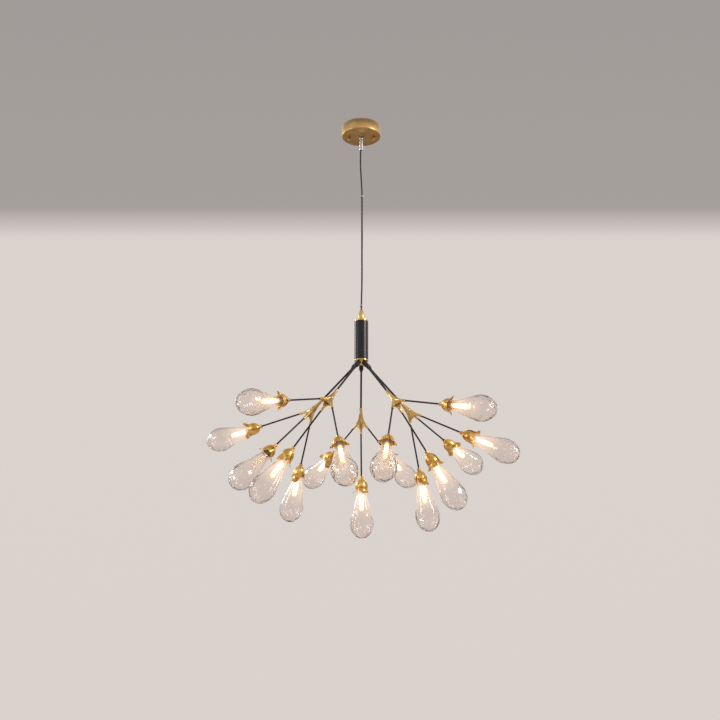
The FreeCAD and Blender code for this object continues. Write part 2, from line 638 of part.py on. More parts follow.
# The cutter between two petals: a narrow round floor and sides that sweep outwards, cut from
# the axis.
NOTCH_TURN = "notch_floor + notch_radius"
NOTCH_TOP = "bell_length + notch_spare"
notch = new_body("petal_notch")
notch_outline = new_sketch(notch, "notch_outline", "XZ_Plane")
add_outline(notch_outline, [("-notch_mouth / 2", NOTCH_TOP, "notch_sweep", 1),
                            ("-notch_radius", NOTCH_TURN, "notch_radius * 1.001", -1),
                            ("notch_radius", NOTCH_TURN, "notch_sweep", 1),
                            ("notch_mouth / 2", NOTCH_TOP)])
padded(notch, "notch_pad", notch_outline, "lip_diameter")
petals = less("cup_petals", bell,
              *[placed("petal_notch_%d" % bearing, notch,
                       Placement(Vector(), Rotation(Vector(0, 0, 1), bearing - 30)))
                for bearing in PRONG_BEARINGS])
cup = joined("flower_cup", gallery, petals)

# ---------------------------------------------------------------- lamp
# Ceramic holder on the cup's floor, and a slim stick lamp that plugs into it.
HOLDER_TOP = "holder_seat + holder_length"
holder = turned("lamp_holder", [
    ("0", "holder_seat"), ("holder_diameter / 2", "holder_seat"),
    ("holder_diameter / 2", HOLDER_TOP), ("plug_diameter / 2 + running_clearance", HOLDER_TOP),
    ("plug_diameter / 2 + running_clearance", HOLDER_TOP + " - plug_length - plug_spare"),
    ("0", HOLDER_TOP + " - plug_length - plug_spare")])
lamp = turned("stick_lamp", [
    ("0", HOLDER_TOP + " - plug_length"), ("plug_diameter / 2", HOLDER_TOP + " - plug_length"),
    ("plug_diameter / 2", HOLDER_TOP), ("lamp_diameter / 2", HOLDER_TOP),
    ("lamp_diameter / 2", HOLDER_TOP + " + lamp_length - lamp_diameter / 2",
     "lamp_diameter / 2", -1),
    ("0", HOLDER_TOP + " + lamp_length")])

# ---------------------------------------------------------------- glass drop
# Blown clear drop: a straight neck in the cup, a straight flare, then two round stretches that
# meet smoothly past the widest point.  The inside is the same line, one wall further in.
SPREAD = "(side_radius - tip_radius)"
DIP = "(side_radius - glass_diameter / 2)"
WIDEST = "(glass_reach - tip_radius - sqrt(%s^2 - %s^2))" % (SPREAD, DIP)
JOIN_COS = "(%s / %s)" % (DIP, SPREAD)
JOIN_SIN = "sqrt(1 - %s^2)" % JOIN_COS
SIDE_R = "(glass_diameter / 2 - side_radius * (1 - cos(side_angle)))"
SIDE_Z = "(%s - side_radius * sin(side_angle))" % WIDEST
NECK_Z = "(%s - (%s - neck_diameter / 2) / tan(side_angle))" % (SIDE_Z, SIDE_R)
JOIN_R = "(glass_diameter / 2 - side_radius * (1 - %s))" % JOIN_COS
JOIN_Z = "(%s + side_radius * %s)" % (WIDEST, JOIN_SIN)
glass = turned("glass_drop", [
    ("neck_diameter / 2", "neck_seat"), ("neck_diameter / 2", NECK_Z),
    (SIDE_R, SIDE_Z, "side_radius", -1),
    (JOIN_R, JOIN_Z, "tip_radius", -1),
    ("0", "glass_reach"),
    ("0", "glass_reach - glass_wall", "tip_radius - glass_wall", 1),
    ("%s - glass_wall * %s" % (JOIN_R, JOIN_COS), "%s - glass_wall * %s" % (JOIN_Z, JOIN_SIN),
     "side_radius - glass_wall", 1),
    (SIDE_R + " - glass_wall * cos(side_angle)", SIDE_Z + " + glass_wall * sin(side_angle)"),
    ("neck_diameter / 2 - glass_wall", NECK_Z + " + glass_wall * tan(side_angle / 2)"),
    ("neck_diameter / 2 - glass_wall", "neck_seat")])

# ---------------------------------------------------------------- the five branches
rod_start = size("prong_length - rod_insert")
rod_reach = size("rod_reach")
# Each cup is screwed on as far as it goes, so its petals stand at their own angle.
CUP_TURNS = {
    "front_left": (35, -40, -32), "left": (54, -44, 11), "back": (-24, -5, -22),
    "front_right": (-51, 44, -25), "right": (22, -15, 51),
}
for branch in BRANCHES:
    tripod_place = branch_place(branch)
    heads = [tripod_place.multiply(prong_place(bearing, rod_reach)) for bearing in PRONG_BEARINGS]
    rod_places = [tripod_place.multiply(prong_place(bearing, rod_start))
                  for bearing in PRONG_BEARINGS]
    keep("arm_" + branch, placed("arm_" + branch, arm, Placement(hub_centre, arm_rotation(branch))))
    keep("tripod_" + branch, placed("tripod_" + branch, tripod, tripod_place))
    keep("rods_" + branch, placed("rods_" + branch, rod, *rod_places))
    cup_places = [head.multiply(Placement(Vector(), Rotation(Vector(0, 0, 1), turn)))
                  for head, turn in zip(heads, CUP_TURNS[branch])]
    keep("cups_" + branch, placed("cups_" + branch, cup, *cup_places))
    keep("holders_" + branch, placed("holders_" + branch, holder, *heads))
    keep("lamps_" + branch, placed("lamps_" + branch, lamp, *heads))
    for number, head in enumerate(heads, start=1):
        name = "glass_%s_%d" % (branch, number)
        keep(name, placed(name, glass, head))

# ---------------------------------------------------------------- check and write
doc.recompute()
for item in doc.Objects:
    if {"Invalid", "Error"} & set(item.State):
        raise ValueError(item.Label + " did not build: " + str(item.State))
os.makedirs("parts", exist_ok=True)
for name, piece in nodes.items():
    if piece.Shape.isNull() or not piece.Shape.isValid() or not piece.Shape.Solids:
        raise ValueError(name + " has no sound shape")
    piece.Shape.exportStep("parts/%s.step" % name)
print("%d nodes written" % len(nodes))
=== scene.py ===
import math

import bpy
import numpy as np
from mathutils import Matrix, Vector


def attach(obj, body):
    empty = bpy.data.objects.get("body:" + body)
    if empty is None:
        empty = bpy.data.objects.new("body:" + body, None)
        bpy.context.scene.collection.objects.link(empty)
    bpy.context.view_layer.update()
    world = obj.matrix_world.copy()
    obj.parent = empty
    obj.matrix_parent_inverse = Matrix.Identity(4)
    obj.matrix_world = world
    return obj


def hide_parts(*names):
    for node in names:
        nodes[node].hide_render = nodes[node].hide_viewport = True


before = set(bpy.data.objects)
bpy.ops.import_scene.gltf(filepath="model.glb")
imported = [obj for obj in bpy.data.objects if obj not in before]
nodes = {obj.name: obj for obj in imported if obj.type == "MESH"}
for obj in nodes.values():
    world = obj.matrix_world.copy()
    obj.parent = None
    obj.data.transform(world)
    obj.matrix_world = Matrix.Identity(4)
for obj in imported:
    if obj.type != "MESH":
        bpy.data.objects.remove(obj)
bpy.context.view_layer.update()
MM = 0.001

# ---------------------------------------------------------------- camera
# The photograph is taken from below the light's middle, looking up at 16 degrees.  Lens, place
# and pitch come from a fit of the fifteen drops, the tube and the ceiling cup.
camera = bpy.data.objects.new("camera", bpy.data.cameras.new("camera"))
camera.data.sensor_width = 36
camera.data.lens = 50.775
camera.location = (-0.0032, -2.3717, -1.3073)
camera.rotation_euler = (math.radians(90 + 15.97), 0, 0)
bpy.context.collection.objects.link(camera)
bpy.context.scene.camera = camera

# ---------------------------------------------------------------- cord and wire
# A black round lead hangs beside a thin steel wire rope.  Both run from the gland under the
# ceiling cup into the brass gripper.
PIVOT_Z = -34 * MM
CORD_END_Z = -504 * MM
CORD_LANE, WIRE_LANE = -0.8 * MM, 2 * MM
LEAD_THICK, WIRE_THICK = 4 * MM, 1.2 * MM
CORD_DRIFT = ((-1.6, -66), (-2.2, -102), (-0.6, -140), (1.5, -172), (2.1, -208), (1.7, -256),
              (2.2, -306), (1.6, -356), (1.9, -404), (1.3, -444), (0.3, -477))


def strand(name, points, thickness):
    """A round cord as a smooth curve that the points pull towards themselves.  Its radius is
    stated at the points, with a bevel of 1, so that the curve's box fits it too."""
    curve = bpy.data.curves.new(name, "CURVE")
    curve.dimensions = "3D"
    line = curve.splines.new("NURBS")
    line.points.add(len(points) - 1)
    for spot, point in zip(line.points, points):
        spot.co, spot.radius = (*point, 1), thickness / 2
    line.order_u = 3
    line.use_endpoint_u = True
    line.resolution_u = 8
    curve.bevel_depth = 1
    curve.bevel_resolution = 5
    piece = bpy.data.objects.new(name, curve)
    bpy.context.collection.objects.link(piece)
    return piece


cord_points = [(0, CORD_LANE, PIVOT_Z)]
cord_points += [(drift * MM, CORD_LANE, depth * MM) for drift, depth in CORD_DRIFT]
cord_points.append((0, CORD_LANE, CORD_END_Z))
lead = strand("lead", cord_points, LEAD_THICK)
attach(lead, "cord")
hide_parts("power_cord")
wire_rope = strand("wire_rope", [(0, WIRE_LANE, PIVOT_Z), (0, WIRE_LANE, -0.27),
                                 (0, WIRE_LANE, CORD_END_Z)], WIRE_THICK)
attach(wire_rope, "cord")
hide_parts("suspension_wire")


class Value:
    """A number, colour or vector that a material works out from others, with + - * and /."""

    def __init__(self, tree, socket):
        self.tree, self.socket = tree, socket

    def node(self, kind, inputs=(), output=0, **settings):
        """Any node: its sockets by name or number, filled with Values or constants."""
        made = self.tree.nodes.new("ShaderNode" + kind)
        for setting, choice in settings.items():
            setattr(made, setting, choice)
        for place, content in dict(inputs).items():
            if isinstance(content, Value):
                self.tree.links.new(content.socket, made.inputs[place])
            else:
                made.inputs[place].default_value = content
        return Value(self.tree, made.outputs[output])

    def maths(self, operation, *others):
        """One Math node on this number and the others."""
        inputs = dict(enumerate((self,) + others))
        return self.node("Math", inputs, operation=operation)

    def __add__(self, other):
        return self.maths("ADD", other)

    def __sub__(self, other):
        return self.maths("SUBTRACT", other)

    def __mul__(self, other):
        return self.maths("MULTIPLY", other)

    def __truediv__(self, other):
        return self.maths("DIVIDE", other)

    def noise(self, scale, detail=3.0, stretch=(1, 1, 1)):
        """Soft noise from 0 to 1, with a scale per metre along each axis."""
        spread = self.node("Mapping", {0: self, "Scale": stretch})
        return self.node("TexNoise", {"Vector": spread, "Scale": scale, "Detail": detail})

    def ramp(self, *stops):
        """A colour from a number: each stop is (number, colour)."""
        made = self.tree.nodes.new("ShaderNodeValToRGB")
        while len(made.color_ramp.elements) < len(stops):
            made.color_ramp.elements.new(0.5)
        for element, (place, colour) in zip(made.color_ramp.elements, stops):
            element.position = place
            element.color = (*colour, 1)
        self.tree.links.new(self.socket, made.inputs[0])
        return Value(self.tree, made.outputs[0])

    def between(self, low, high):
        """This number, from 0 to 1, spread over another range."""
        return self.node("MapRange", {0: self, 3: low, 4: high})

    def bump(self, height, distance):
        """A normal that follows this number as a height in metres."""
        return self.node("Bump", {"Height": self, "Strength": height, "Distance": distance})


def new_material(name, **fixed):
    """A material of one Principled shader with fixed values.  Returns it and its place: the
    Object coordinates, as a Value."""
    material = bpy.data.materials.new(name)
    material.use_nodes = True
    tree = material.node_tree
    shader = tree.nodes["Principled BSDF"]
    for socket, value in fixed.items():
        shader.inputs[socket.replace("_", " ")].default_value = value
    place = tree.nodes.new("ShaderNodeTexCoord")
    return material, Value(tree, place.outputs["Object"])


def feed(material, **varying):
    """Link Values to the shader's sockets."""
    tree = material.node_tree
    shader = tree.nodes["Principled BSDF"]
    for socket, value in varying.items():
        tree.links.new(value.socket, shader.inputs[socket.replace("_", " ")])


def paint(material, *pieces):
    """Give each piece this one material."""
    for piece in pieces:
        piece.data.materials.clear()
        piece.data.materials.append(material)


# Soft black sheath: faint mottling and a matt surface that is not quite even.
sheath, place = new_material("black_sheath", Specular_IOR_Level=0.35)
mottle = place.noise(420.0, 4.0)
feed(sheath, Base_Color=mottle.ramp((0.3, (0.010, 0.009, 0.009)), (0.7, (0.022, 0.020, 0.019))),
     Roughness=mottle.between(0.48, 0.62), Normal=place.noise(1500.0).bump(0.25, 0.0002))
paint(sheath, lead, nodes["lead_tail"])

# Steel rope: dark lines that wind round it, one for each strand.
steel_rope, place = new_material("steel_rope", Metallic=1.0)
height = place.node("SeparateXYZ", {0: place}, output=2)
across = place.node("SeparateXYZ", {0: place}, output=0)
along = place.node("SeparateXYZ", {0: place}, output=1) - WIRE_LANE
turn = along.maths("ARCTAN2", across)
twist = ((turn * 6.0) + (height * 4700.0)).maths("SINE").between(0.0, 1.0)
feed(steel_rope, Base_Color=twist.ramp((0.1, (0.16, 0.16, 0.165)), (0.7, (0.52, 0.52, 0.53))),
     Roughness=twist.between(0.42, 0.26), Normal=twist.bump(0.6, 0.0001))
paint(steel_rope, wire_rope)

# ---------------------------------------------------------------- ceiling cup and cap nuts
# A spun brass cup with a rolled lower edge, held by two small knurled nuts.  The strap, the
# terminal block and the lead's tail inside it are the CAD pieces.


def bend(start, end, radius, side, steps=10):
    """Points of the arc from start to end, bulging to the left (1) or the right (-1): equal
    steps of angle about the centre, which stands off the chord by Pythagoras."""
    start, end = np.array(start, float), np.array(end, float)
    chord = end - start
    half = np.linalg.norm(chord) / 2
    left = side * np.array([-chord[1], chord[0]]) / (2 * half)
    centre = (start + end) / 2 - left * math.sqrt(radius ** 2 - half ** 2)
    first = math.atan2(*(start - centre)[::-1])
    sweep = -2 * side * math.asin(half / radius)
    angles = first + sweep * np.linspace(0, 1, steps + 1)
    return [tuple(centre + radius * np.array([math.cos(a), math.sin(a)])) for a in angles]


def soften(corners, radius=0.3, steps=3):
    """A profile with its corners rounded by short parabolas, and a point close to each side
    of a rounding so that smooth shading stays flat between corners."""
    corners = [np.array(corner, float) for corner in corners]
    corners = corners[:1] + [corner for before, corner in zip(corners, corners[1:])
                             if np.linalg.norm(corner - before) > 1e-6]
    points = [corners[0]]
    for before, corner, after in zip(corners, corners[1:], corners[2:]):
        arrive, leave = corner - before, after - corner
        lengths = np.linalg.norm(arrive), np.linalg.norm(leave)
        arrive, leave = arrive / lengths[0], leave / lengths[1]
        turn = math.acos(max(-1.0, min(1.0, float(arrive @ leave))))
        if turn < math.radians(14):
            points.append(corner)
            continue
        reach = min(radius * math.tan(turn / 2), 0.35 * min(lengths))
        first, last = corner - arrive * reach, corner + leave * reach
        points.append(first - arrive * 0.3 * reach)
        for share in np.linspace(0, 1, steps + 1):
            points.append((1 - share) ** 2 * first + 2 * share * (1 - share) * corner
                          + share ** 2 * last)
        points.append(last + leave * 0.3 * reach)
    points.append(corners[-1])
    return np.array(points)


def lathe(profile, sides=64, ripple=None):
    """A surface of revolution: each (radius, height) point of the profile goes round Z, with
    x = radius cos(angle) and y = radius sin(angle).  Ripple changes the radius, in
    millimetres, at each angle and height."""
    radius, height = np.array(profile, float).T
    angle = np.tile(np.arange(sides) * 2 * math.pi / sides, (len(radius), 1))
    radius = np.tile(radius[:, None], (1, sides))
    height = np.tile(height[:, None], (1, sides))
    if ripple is not None:
        radius = radius + ripple(angle, height)
    points = np.stack([radius * np.cos(angle), radius * np.sin(angle), height], axis=-1)
    return points.reshape(-1, 3), wrap(len(profile), sides)


def wrap(rows, columns):
    """Quads between the points of a grid whose rows close on themselves."""
    row = np.arange(rows - 1)[:, None] * columns
    column = np.arange(columns)[None, :]
    following = (column + 1) % columns
    return np.stack([row + column, row + following, row + columns + following,
                     row + columns + column], axis=-1).reshape(-1, 4)


def moved(form, place):
    """A form, points and faces, at a place that is a 4 x 4 matrix."""
    points, faces = form
    return points @ place[:3, :3].T + place[:3, 3], faces


def together(forms):
    """Several forms as one."""
    points, faces, start = [], [], 0
    for spots, quads in forms:
        points.append(spots)
        faces.append(quads + start)
        start += len(spots)
    return np.concatenate(points), np.concatenate(faces)


def make_piece(name, form, body, *replaced):
    """A smooth mesh piece from a form in millimetres, which rides on a body and stands for
    CAD nodes.  Points that meet on an axis become one."""
    points, faces = form
    mesh = bpy.data.meshes.new(name)
    mesh.from_pydata((points * MM).tolist(), [], faces.tolist())
    piece = bpy.data.objects.new(name, mesh)
    bpy.context.collection.objects.link(piece)
    weld = piece.modifiers.new("weld", "WELD")
    weld.merge_threshold = 0.01 * MM
    settle(piece)
    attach(piece, body)
    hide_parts(*replaced)
    return piece


def settle(piece):
    """Keep the piece's modified mesh as its own, smooth shaded."""
    shaped = piece.evaluated_get(bpy.context.evaluated_depsgraph_get())
    mesh = bpy.data.meshes.new_from_object(shaped)
    piece.modifiers.clear()
    piece.data = mesh
    mesh.shade_smooth()


def shift(x=0.0, y=0.0, z=0.0):
    """A move in millimetres as a 4 x 4 matrix."""
    place = np.eye(4)
    place[:3, 3] = (x, y, z)
    return place


outer = [(50, 0), *bend((50, -25.5), (47.5, -28), 2.5, 1, 8), (5.3, -28)]
inner = [(5.3, -26.8), *bend((47.5, -26.8), (48.8, -25.5), 1.3, -1, 6), (48.8, 0), (50, 0)]
canopy = make_piece("ceiling_cup", lathe(soften(outer + inner, 0.25), 128), "ceiling_mount",
                    "canopy")


def knurl(angle, height):
    """Twenty small ridges, 0.12 mm high, that fade out at the nut's ends."""
    middle = np.clip(1 - np.abs(height + 4.4) / 3.4, 0, 1)
    return -0.12 * np.minimum(1, 4 * middle) * (0.5 + 0.5 * np.cos(20 * angle))


nut = lathe(soften([(2.05, -6), (2.05, 0), (3.2, 0), (3.75, -0.6), (3.75, -2), (3.75, -4),
                    (3.75, -6), (3.75, -8.2), (3.0, -9.6), (1.5, -9.95), (0, -10)], 0.5),
            120, knurl)
NUT_LANE = 31
nuts = make_piece("knurled_nuts", together([moved(nut, shift(side, 0, -28))
                                            for side in (-NUT_LANE, NUT_LANE)]),
                  "ceiling_mount", "cap_nuts")


def brass_finish(name, base, tint, roughness, grain, cell=38.0, dent=0.0, metal=1.0):
    """Brass with soft clouds of tone from base to tint, cell of them a metre, and fine
    scratches that are grain millimetres deep.  A casting's clouds are also dents, dent
    millimetres deep.  Metal below 1 is for brass that has gone dull."""
    material, place = new_material(name, Metallic=metal)
    cloud = place.noise(cell, 4.0)
    fine = place.noise(900.0, 2.0, (1, 1, 0.12))
    tone = cloud * 0.8 + fine * 0.2
    height = cloud * dent + fine * grain
    feed(material, Base_Color=tone.ramp((0.36, base), (0.64, tint)),
         Roughness=tone.between(roughness + 0.1, roughness - 0.06),
         Normal=height.bump(1.0, MM))
    return material


spun_brass = brass_finish("spun_brass", (0.50, 0.30, 0.11), (0.66, 0.42, 0.17), 0.34, 0.02)
paint(spun_brass, canopy, nuts)

# Zinc-plated strap: pale grey steel with a faint crystal pattern.
zinc, place = new_material("zinc_plate", Metallic=1.0)
spangle = place.node("TexVoronoi", {0: place, "Scale": 260.0})
feed(zinc, Base_Color=spangle.ramp((0.0, (0.42, 0.43, 0.45)), (0.9, (0.58, 0.59, 0.60))),
     Roughness=spangle.between(0.30, 0.44), Normal=place.noise(700.0).bump(0.1, 0.0001))
paint(zinc, nodes["mounting_bracket"])

# Off-white moulding for the terminal block and the driver's case.
moulding, place = new_material("white_moulding", Roughness=0.5)
speck = place.noise(300.0, 4.0)
feed(moulding, Base_Color=speck.ramp((0.3, (0.66, 0.65, 0.62)), (0.7, (0.76, 0.75, 0.72))),
     Roughness=speck.between(0.42, 0.55), Normal=place.noise(1800.0).bump(0.15, 0.0001))
paint(moulding, nodes["terminal_block"], nodes["led_driver"])

# ---------------------------------------------------------------- gland, grip and clips
# A bright nickel gland in the cup's middle, a clear ribbed grip below it that swings in it, and
# two clear clips that hold lead and wire together.
nickel, place = new_material("bright_nickel", Metallic=1.0)
wipe = place.noise(240.0, 4.0)
feed(nickel, Base_Color=wipe.ramp((0.3, (0.60, 0.59, 0.57)), (0.7, (0.72, 0.71, 0.69))),
     Roughness=wipe.between(0.10, 0.22), Normal=place.noise(900.0).bump(0.06, 0.0001))
gland = lathe(soften([(3.3, -30.1), (3.3, -22.3), (4.9, -22.3), (4.9, -28), (5.6, -28),
                      (6, -28.6), (6, -33.2), (5.6, -35), (4.98, -35), (5.07, -33.2),
                      (4.4, -31.2), (3.3, -30.1)], 0.3), 96)


def prism(flats, low, high, bore, sides=6):
    """A hexagonal nut: the outer radius is flats / 2 over the cosine of the angle from the
    nearest flat's middle."""
    def to_flat(angle, height):
        """How far the outer wall stands off the round rim."""
        step = 2 * math.pi / sides
        off = (angle % step) - step / 2
        return np.where(np.abs(height - (low + high) / 2) < (high - low) / 2 - 0.01,
                        flats / 2 / np.cos(off) - flats / 2, 0)
    rim = flats / 2
    profile = [(bore, low), (rim - 0.3, low), (rim, low + 0.3), (rim, high - 0.3),
               (rim - 0.3, high), (bore, high), (bore, low)]
    return lathe(profile, 96, to_flat)


locknut = prism(14, -26.8, -24.3, 4.95)
gland_piece = make_piece("nickel_gland", together([gland, locknut]), "ceiling_mount",
                         "cord_gland")
paint(nickel, gland_piece)


def ribs(angle, height):
    """Shallow round grooves down the grip, 2.6 mm apart below its neck, alike at every
    angle."""
    return np.where((height < -41) & (height > -62),
                    -0.22 * (0.5 - 0.5 * np.cos((height + 41) * 2 * math.pi / 2.625)), 0)


levels = np.linspace(-40, -64, 97)
sleeve = [(4.74 - 0.4 * (-36 - level) / 30, level) for level in levels]
grip_profile = (bend((4.36, -32), (4.8, -34), 4.8, 1, 5) + [(4.76, -36)] + sleeve
                + [(4.3, -65.6), (4.0, -66), (3.9, -65.8), (3.9, -50), (3.9, -32.2),
                   (4.36, -32)])
grip = make_piece("clear_grip", lathe(grip_profile, 64, ribs), "cord", "cord_grip")


def clip_form(level, drift):
    """A clear clip of 8.8 mm: one round ring, 4 mm high, at a level and moved sideways by a
    drift.
    """
    lobe = soften([(2.15, 0), (3.7, 0), (4.3, 0.5), (4.4, 1.2), (4.4, 2.8), (4.3, 3.5),
                   (3.7, 4), (2.15, 4), (2.15, 0)], 0.3)
    return moved(lathe(lobe, 48), shift(drift, 0.25, level))


clips = make_piece("clear_clips", together([clip_form(-197, 1.25), clip_form(-491.4, 0.1)]),
                   "cord", "cable_clips")
clear, place = new_material("clear_moulding", Transmission_Weight=0.6, IOR=1.47)
haze_and_painted_glow = place.noise(260.0, 3.0)
feed(clear, Base_Color=haze_and_painted_glow.ramp((0.3, (0.62, 0.61, 0.60)), (0.7, (0.80, 0.79, 0.78))),
     Roughness=haze_and_painted_glow.between(0.12, 0.3), Normal=place.noise(700.0).bump(0.1, 0.0001))
paint(clear, grip, clips)

# ---------------------------------------------------------------- gripper, tube and caps
# A turned brass bell holds the wire and swivels in the brass top cap of the black body tube.
# Its base stands a hair above the cap, so that the two can turn against each other.
CAP_TOP, GRIPPER_BASE = -526.0, -525.94
profile = [(3.3, CAP_TOP - 13), (4.15, CAP_TOP - 13), (4.15, GRIPPER_BASE),
           (7.7, GRIPPER_BASE), (8.0, CAP_TOP + 0.4), (8.0, CAP_TOP + 1.5),
           *bend((8.0, CAP_TOP + 1.5), (3.8, CAP_TOP + 24.6), 45, -1, 28),
           (3.3, CAP_TOP + 25), (3.3, CAP_TOP - 13)]
gripper = make_piece("brass_gripper", lathe(soften(profile, 0.3), 96), "gripper",
                     "cable_gripper")
turned_brass = brass_finish("turned_brass", (0.50, 0.30, 0.10), (0.68, 0.455, 0.185), 0.24,
                            0.02)

TUBE_TOP = -531.0
cap = make_piece("tube_cap", lathe(soften([
    (4.2, TUBE_TOP - 8), (15.75, TUBE_TOP - 8), (15.75, TUBE_TOP), (16.5, TUBE_TOP),
    (16.5, TUBE_TOP + 4.2), (15.7, TUBE_TOP + 5), (4.2, TUBE_TOP + 5), (4.2, TUBE_TOP - 8)],
    0.35), 128), "pendant", "top_cap")
TUBE_FOOT = -629.0
tube = make_piece("tube_shell", lathe(soften([
    (15.8, TUBE_FOOT), (17, TUBE_FOOT), (17, TUBE_TOP), (15.8, TUBE_TOP), (15.8, TUBE_FOOT)],
    0.3), 128), "pendant", "body_tube")
black, place = new_material("black_coat", Specular_IOR_Level=0.22, Coat_Roughness=0.25)
peel = place.noise(520.0, 3.0)
dust = place.noise(60.0, 5.0)
feed(black, Base_Color=dust.ramp((0.35, (0.007, 0.0060, 0.0058)), (0.7, (0.012, 0.0105, 0.010))),
     Roughness=dust.between(0.30, 0.36), Coat_Weight=dust.between(0.12, 0.18),
     Normal=peel.bump(0.01, 0.0002))
paint(black, tube)

# ---------------------------------------------------------------- hub
# A turned brass plug under the tube.  Its cone gives each arm a seat, and all arms point away
# from one spot on the light's axis.
HUB = (0, 0, -626.0)
hub_profile = [(0, 6), (15.75, 6), (15.75, -3), (17.25, -3), (17.25, -5.5), (15.9, -5.5),
               (5.5, -15.54), (4.3, -16.74), (0, -16.74)]
hub = make_piece("hub_plug", moved(lathe(soften(hub_profile, 0.4), 128), shift(*HUB)),
                 "pendant", "hub")
paint(turned_brass, hub, gripper, cap)

# ---------------------------------------------------------------- arms
# Black arms fan out of the hub.  Each has a stout sleeve at the hub that tapers to a slim tube,
# and ends in a tripod's stem.
# Each branch has its arm's tilt from straight down, the arm's bearing, and the tripod's turn.
BRANCHES = {
    "front_left": (44.3, -37.4, 64.1),
    "left": (45.1, -103.7, 73.9),
    "back": (42.4, 180.5, -1.0),
    "front_right": (43.4, 40.0, 48.9),
    "right": (44.3, 106.1, 4.9),
}
PRONG_BEARINGS = (0, 120, 240)
PRONG_ANGLE = 33.2
TRIPOD_REACH, CUP_REACH = 169, 141


def turn_about(axis, degrees):
    """A turn about X, Y or Z as a 4 x 4 matrix."""
    first, second = {"x": (1, 2), "y": (2, 0), "z": (0, 1)}[axis]
    place = np.eye(4)
    cosine, sine = math.cos(math.radians(degrees)), math.sin(math.radians(degrees))
    place[first, first] = place[second, second] = cosine
    place[second, first], place[first, second] = sine, -sine
    return place


def arm_place(branch):
    """Z along the arm, which is tilted out from straight down, and X down square to it."""
    tilt, bearing = (math.radians(angle) for angle in BRANCHES[branch][:2])
    along = np.array([math.sin(tilt) * math.sin(bearing), -math.sin(tilt) * math.cos(bearing),
                      -math.cos(tilt)])
    down = np.array([0, 0, -1.0])
    steep = down - along * (down @ along)
    steep /= np.linalg.norm(steep)
    place = shift(*HUB)
    place[:3, 0], place[:3, 1], place[:3, 2] = steep, np.cross(along, steep), along
    return place


def branch_place(branch):
    """The tripod's place: out along the arm, and turned about it."""
    return arm_place(branch) @ shift(z=TRIPOD_REACH) @ turn_about("z", BRANCHES[branch][2])


def prong_place(bearing, reach=0.0):
    """In the tripod's own place: Z along the prong at a bearing, so many millimetres out."""
    return turn_about("z", bearing) @ turn_about("y", PRONG_ANGLE) @ shift(z=reach)


arm_form = lathe(soften([
    (0, 8.9), (3, 8.9), (3, 13.9), (5.2, 13.9), (5.5, 14.2), (5.5, 27.9), (2.4, 35.9),
    (2.4, 80), (2.4, 146.3), (0, 146.3)], 0.5), 48)
for branch in BRANCHES:
    arm = make_piece("slim_arm_" + branch, moved(arm_form, arm_place(branch)), "pendant",
                     "arm_" + branch)
    paint(black, arm)

# ---------------------------------------------------------------- tripods
# Cast brass forks like a bird's foot: a waisted stem, three waisted prongs and a web with an
# arched edge between each two prongs.  All are melted into one skin, so that the crotches are
# round as in a casting.
cast_brass = brass_finish("cast_brass", (0.44, 0.25, 0.073), (0.78, 0.53, 0.21), 0.28, 0.02,
                          48.0, 0.6)

def melt(piece, voxel, rounds):
    """Skin the piece afresh with small cells, relax the skin, and keep the result."""
    remesh = piece.modifiers.new("skin", "REMESH")
    remesh.mode, remesh.voxel_size, remesh.use_smooth_shade = "VOXEL", voxel, True
    relax = piece.modifiers.new("relax", "SMOOTH")
    relax.factor, relax.iterations = 0.5, rounds
    settle(piece)


solid_stem = lathe([(0, -34.7), (3.4, -34.7), *bend((3.7, -34.4), (7.75, 0), 90, 1, 20),
                    *bend((7.75, 0), (0, 4.5), 8.92, -1, 10)], 64)
solid_prong = lathe([(0, 0), *bend((7, 0), (3.3, 37.3), 110, 1, 20), (3.0, 37.6), (0, 37.6)],
                    64)
WEB_HALF = math.asin(math.sin(math.radians(PRONG_ANGLE)) * math.sin(math.radians(60)))
WEB_REACH, WEB_ARCH = 33, 21
web_tip = np.array([WEB_REACH * math.sin(WEB_HALF), WEB_REACH * math.cos(WEB_HALF)])


def web_form(thick=3.6):
    """A flat web in the XY plane: its outline goes from the origin along one prong, back over
    the arch and along the other prong, and its two faces fan out from a point within."""
    arch = bend((-web_tip[0], web_tip[1]), tuple(web_tip), WEB_ARCH, -1, 16)
    outline = np.array([*np.linspace((0, 0), arch[0], 12)[:-1], *arch,
                        *np.linspace(arch[-1], (0, 0), 12)[1:-1]])
    middle = np.tile((0.0, 16.0), (len(outline), 1))
    rows = [np.column_stack([ring, np.full(len(ring), level)])
            for ring, level in ((middle, -thick / 2), (outline, -thick / 2),
                                (outline, thick / 2), (middle, thick / 2))]
    return np.concatenate(rows), wrap(4, len(outline))


def web_place(bearing):
    """Y along the bisector of the prong at a bearing and the next one, X from one to the
    other."""
    near, far = prong_place(bearing)[:3, 2], prong_place(bearing + 120)[:3, 2]
    across, along = far - near, far + near
    place = np.eye(4)
    place[:3, 0], place[:3, 1] = across / np.linalg.norm(across), along / np.linalg.norm(along)
    place[:3, 2] = np.cross(place[:3, 0], place[:3, 1])
    return place


for branch in BRANCHES:
    place = branch_place(branch)
    fork = together([moved(solid_stem, place)]
                    + [moved(solid_prong, place @ prong_place(bearing))
                       for bearing in PRONG_BEARINGS]
                    + [moved(web_form(), place @ web_place(bearing))
                       for bearing in PRONG_BEARINGS])
    tripod = make_piece("cast_tripod_" + branch, fork, "branch_" + branch, "tripod_" + branch)
    melt(tripod, 0.6 * MM, 6)
    paint(cast_brass, tripod)

